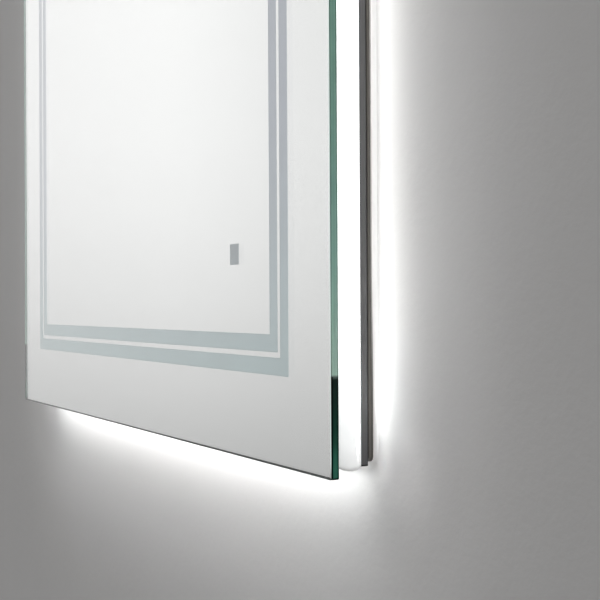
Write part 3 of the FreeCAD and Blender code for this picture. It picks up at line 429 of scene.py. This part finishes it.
f = moulded("earth_sleeve", (0.10, 0.32, 0.035), (0.12, 0.36, 0.045), (0.38, 0.5))
_, _, z = f.xyz()
x, _, _ = f.xyz()
stripe = f.remap(f.math("SINE", f.math("MULTIPLY", f.math("ADD", x, z), 2200.0)), -0.1, 0.1)
f.put(color=f.mix(stripe, (0.10, 0.33, 0.04), (0.72, 0.62, 0.05)))

f = made("green_board")
weave = f.noise(900.0, 2.0, 0.5)
track = f.remap(f.cells(260.0, feature="DISTANCE_TO_EDGE", random=0.55), 0.03, 0.06)
f.put(color=f.mix(track, (0.030, 0.150, 0.065), f.mix(weave, (0.018, 0.085, 0.040), (0.024, 0.110, 0.050))),
      rough=f.remap(weave, 0.3, 0.7, 0.22, 0.36), coat=0.3, normal=f.bump(track, 0.00003, 0.4))

f = made("led_package")
glint = f.noise(900.0, 3.0)
f.put(color=f.mix(glint, (0.86, 0.70, 0.22), (0.92, 0.80, 0.36)), rough=f.remap(glint, 0.3, 0.7, 0.2, 0.35),
      glow=f.mix(glint, (1.0, 0.93, 0.80), (1.0, 0.96, 0.88)), glow_power=f.remap(glint, 0.0, 1.0, 2.5, 3.5, smooth=False))

f = made("heating_film")
x, y, z = f.xyz()
trace = f.remap(f.math("ABSOLUTE", f.math("SINE", f.math("MULTIPLY", z, math.pi / 0.006))), 0.82, 0.92)
grain = f.noise(700.0, 3.0)
f.put(color=f.mix(trace, f.mix(grain, (0.60, 0.56, 0.44), (0.68, 0.63, 0.50)), (0.12, 0.11, 0.10)), rough=f.remap(grain, 0.3, 0.7, 0.3, 0.5), normal=f.bump(trace, 0.00004, 0.5))

# ------------------------------------------------------------------ finishes on the pieces
OF = {
    "clear_float_glass": ["mirror_glass"],
    "silvering": ["mirror_silvering"],
    "etched_window": ["band_diffuser_film"],
    "foam_tape": ["bonding_tape"],
    "anodised_frame_upright": ["frame_left", "frame_right"],
    "anodised_frame_level": ["frame_top", "frame_bottom"],
    "opal_diffuser_upright": ["diffuser_left", "diffuser_right"],
    "opal_diffuser_level": ["diffuser_top", "diffuser_bottom"],
    "cast_key": ["corner_keys"],
    "strip_board": ["side_light_strip", "front_light_strip"],
    "led_package": ["side_light_leds", "front_light_leds"],
    "painted_pan": ["back_panel"],
    "black_gasket": ["panel_gasket"],
    "zinc_screw": ["panel_screws", "electrics_screws", "box_lid_screws", "terminal_clamp_screws", "earth_stud", "earth_nuts"],
    "galvanised_rail": ["wall_rail", "rail_hooks", "hanger_hooks"],
    "rivet_aluminium": ["hanger_rivets"],
    "black_rubber": ["wall_bumpers", "cable_grommet"],
    "white_reflector": ["reflector_sheet"],
    "box_white": ["terminal_box", "terminal_box_lid"],
    "box_black": ["driver_base", "demister_terminal"],
    "terminal_moulding": ["terminal_block"],
    "brass_clamp": ["terminal_inserts", "earth_terminal"],
    "driver_shell": ["driver_cover"],
    "green_board": ["driver_board", "touch_sensor_board"],
    "component_body": ["driver_components"],
    "heating_film": ["demister_pad"],
    "sensor_case": ["touch_sensor_case"],
    "copper_electrode": ["touch_electrode"],
    "white_lead": ["driver_supply_lead", "demister_lead"],
    "grey_lead": ["sensor_feed_lead", "side_light_lead", "front_light_lead"],
    "earth_sleeve": ["earth_lead"],
    "clip_nylon": ["lead_clips"],
}
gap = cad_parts["mirror_silvering"].modifiers.new("hair gap to the glass", "DISPLACE")
gap.mid_level, gap.strength = 0.0, -0.00001
given = set()
for name, nodes in OF.items():
    for n in nodes:
        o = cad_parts[n]
        if not o.material_slots:
            o.data.materials.append(finish[name])
        for s in o.material_slots:
            s.material = finish[name]
        given.add(n)
left = set(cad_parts) - given
if left:
    raise ValueError("no finish for " + ", ".join(sorted(left)))


# ------------------------------------------------------------------ floor and backdrop
def plane(name, points):
    me = bpy.data.meshes.new(name)
    me.from_pydata(points, [], [tuple(range(len(points)))])
    o = bpy.data.objects.new(name, me)
    scene.collection.objects.link(o)
    return o


f = made("pale_floor")
cast = f.noise(3.0, 5.0, 0.6)
x, y, z = f.xyz()
away = f.math("SQRT", f.math("ADD", f.math("MULTIPLY", x, x), f.math("MULTIPLY", y, y)))
# painted light: the floor glows faintly, fading from full at 2.6 m to half at its rim
f.put(
    color=f.mix(cast, (0.66, 0.66, 0.655), (0.70, 0.70, 0.695)), rough=f.remap(cast, 0.3, 0.7, 0.60, 0.70), spec=0.2,
    glow=f.mix(cast, (0.98, 0.98, 0.975), (1.0, 1.0, 0.995)),
    glow_power=f.math("MULTIPLY", f.remap(cast, 0.0, 1.0, 0.13, 0.15), f.remap(away, 2.6, 6.95, 1.0, 0.5)),
)
f.mat.cycles.emission_sampling = "NONE"
disc = plane("floor", [(7.0 * math.cos(math.radians(6 * i)), 7.0 * math.sin(math.radians(6 * i)), FLOOR_Z) for i in range(60)])
disc.data.materials.append(f.mat)
disc.visible_diffuse = False

# plain backdrop behind the mirror, seen only from the front
f = Finish("pale_backdrop")
soft = f.noise(26.0, 5.0, 0.55)
rough = f.noise(150.0, 4.0, 0.6)
diffuse = f.node("ShaderNodeBsdfDiffuse")
f.set(diffuse.inputs["Color"], f.mix(f.noise(7.0, 4.0, 0.55), (0.72, 0.712, 0.706), (0.76, 0.752, 0.746)))
f.set(diffuse.inputs["Normal"], f.bump(soft, 0.0012, 0.5, f.bump(rough, 0.0004, 0.5)))
# painted light: a glow painted on the backdrop around the outline of the mirror and in pools at its corners, by the
# distance outward from the pane in metres
x, y, z = f.xyz()
ROUND = 0.016
dx = f.math("SUBTRACT", f.math("ABSOLUTE", x), HALF_W - ROUND)
dz = f.math("SUBTRACT", f.math("ABSOLUTE", f.math("SUBTRACT", z, (Z_LOW + Z_HIGH) / 2)), (Z_HIGH - Z_LOW) / 2 - ROUND)
px, pz = f.math("MAXIMUM", dx, 0.0), f.math("MAXIMUM", dz, 0.0)
out = f.math("ADD", f.math("SQRT", f.math("ADD", f.math("MULTIPLY", px, px), f.math("MULTIPLY", pz, pz))), f.math("MINIMUM", f.math("MAXIMUM", dx, dz), 0.0))
out = f.math("SUBTRACT", out, ROUND)
near = f.ramp(f.remap(out, -0.010, 0.002, smooth=False), [(0.0, 0.0), (0.08, 0.0), (0.19, 0.40), (0.30, 0.58), (0.42, 0.54), (0.52, 0.40), (0.61, 0.20), (0.71, 0.0), (1.0, 0.0)])
near = f.math("MULTIPLY", near, f.remap(f.from_corner(), 0.0, 0.035, 0.42, 1.0))
wide = f.ramp(f.remap(out, 0.0, 0.25, smooth=False), [(0.0, 0.0), (0.08, 0.015), (0.20, 0.050), (0.32, 0.048), (0.44, 0.020), (0.60, 0.004), (0.80, 0.0), (1.0, 0.0)])
painted_backdrop_glow = f.node("ShaderNodeEmission")
# painted pools of light at the mirror's corners
ax = f.math("SUBTRACT", f.math("ABSOLUTE", x), HALF_W + 0.018)
az = f.math("SUBTRACT", f.math("ABSOLUTE", f.math("SUBTRACT", z, (Z_LOW + Z_HIGH) / 2)), (Z_HIGH - Z_LOW) / 2 - 0.008)
corner = f.math("SQRT", f.math("ADD", f.math("MULTIPLY", ax, ax), f.math("MULTIPLY", az, az)))
corner = f.ramp(f.remap(corner, 0.0, 0.06, smooth=False), [(0.0, 0.135), (0.25, 0.120), (0.45, 0.050), (0.62, 0.012), (0.80, 0.0), (1.0, 0.0)])
bx, bz = f.math("ADD", ax, 0.017), f.math("SUBTRACT", az, 0.001)
inner = f.math("SQRT", f.math("ADD", f.math("MULTIPLY", bx, bx), f.math("MULTIPLY", bz, bz)))
inner = f.ramp(f.remap(inner, 0.0, 0.014, smooth=False), [(0.0, 0.17), (0.3, 0.148), (0.6, 0.07), (0.85, 0.015), (1.0, 0.0)])
corner = f.math("ADD", corner, inner)
f.set(painted_backdrop_glow.inputs["Color"], f.mix(1.0, (1.0, 0.985, 0.983), f.math("ADD", corner, f.math("ADD", near, wide)), "MULTIPLY"))
both = f.node("ShaderNodeAddShader")
f.set(both.inputs[0], diffuse.outputs[0])
f.set(both.inputs[1], painted_backdrop_glow.outputs[0])
f.mat.cycles.emission_sampling = "NONE"
clear = f.node("ShaderNodeBsdfTransparent")
one_way = f.node("ShaderNodeMixShader")
f.set(one_way.inputs[0], f.node("ShaderNodeNewGeometry").outputs["Backfacing"])
f.set(one_way.inputs[1], both.outputs[0])
f.set(one_way.inputs[2], clear.outputs[0])
f.set(f.node("ShaderNodeOutputMaterial").inputs["Surface"], one_way.outputs[0])
wall = plane("backdrop", [(-8.0, WALL_Y, FLOOR_Z), (8.0, WALL_Y, FLOOR_Z), (8.0, WALL_Y, 3.5), (-8.0, WALL_Y, 3.5)])
wall.data.materials.append(f.mat)
wall.visible_shadow = False
wall.visible_transmission = False

# ------------------------------------------------------------------ light
world = bpy.data.worlds.new("studio")
scene.world = world
world.use_nodes = True
f = Finish("studio", world.node_tree)
way = f.node("ShaderNodeTexCoord").outputs["Generated"]
dx, dy, dz = f.xyz(way)
rise = f.remap(dz, -1.0, 1.0, 0.0, 1.0, smooth=False)
fall = f.ramp(rise, [(0.0, 0.30), (0.36, 0.40), (0.40, 0.44), (0.42, 0.49), (0.44, 0.57), (0.465, 0.66), (0.50, 0.77), (0.535, 0.85), (0.57, 0.895), (0.64, 0.92), (1.0, 1.0)])
across = f.math("DIVIDE", dx, f.math("SQRT", f.math("MAXIMUM", f.math("SUBTRACT", 1.0, f.math("MULTIPLY", dz, dz)), 0.01)))
side = f.remap(across, -0.940, -0.872, 1.0, 0.0)
much = f.ramp(rise, [(0.0, 0.0), (0.40, 0.03), (0.43, 0.05), (0.465, 0.11), (0.50, 0.155), (0.55, 0.19), (0.62, 0.226), (1.0, 0.23)])
lit = f.mix(1.0, fall, f.math("ADD", f.math("MULTIPLY", much, side), 1.0), "MULTIPLY")
back = f.node("ShaderNodeBackground")
f.set(back.inputs["Color"], f.mix(1.0, lit, (1.0, 0.998, 0.995), "MULTIPLY"))
path = f.node("ShaderNodeLightPath")
f.set(back.inputs["Strength"], f.blend(path.outputs["Is Diffuse Ray"], 1.0, 0.38))
f.set(f.node("ShaderNodeOutputWorld").inputs["Surface"], back.outputs[0])


def lamp(name, place, target, size, power, colour=(1, 1, 1)):
    data = bpy.data.lights.new(name, "AREA")
    data.shape, data.size, data.energy, data.color = "DISK", size, power, colour
    o = bpy.data.objects.new(name, data)
    scene.collection.objects.link(o)
    o.location = place
    o.rotation_mode = "QUATERNION"
    o.rotation_quaternion = (Vector(target) - Vector(place)).to_track_quat("-Z", "Y")
    return o


lamp("key", (-1.6, -2.6, 2.4), (0, 0, -0.3), 2.2, 14)
lamp("fill", (2.6, -1.4, 1.6), (0, 0, -0.3), 2.2, 5)
lamp("rear", (-1.4, 2.8, 1.6), (0, 0, -0.3), 2.0, 130)
lamp("rake", (-2.6, 0.75, 1.1), (0, 0.05, -0.3), 1.0, 70)

scene.view_settings.view_transform = "Standard"
scene.view_settings.look = "None"
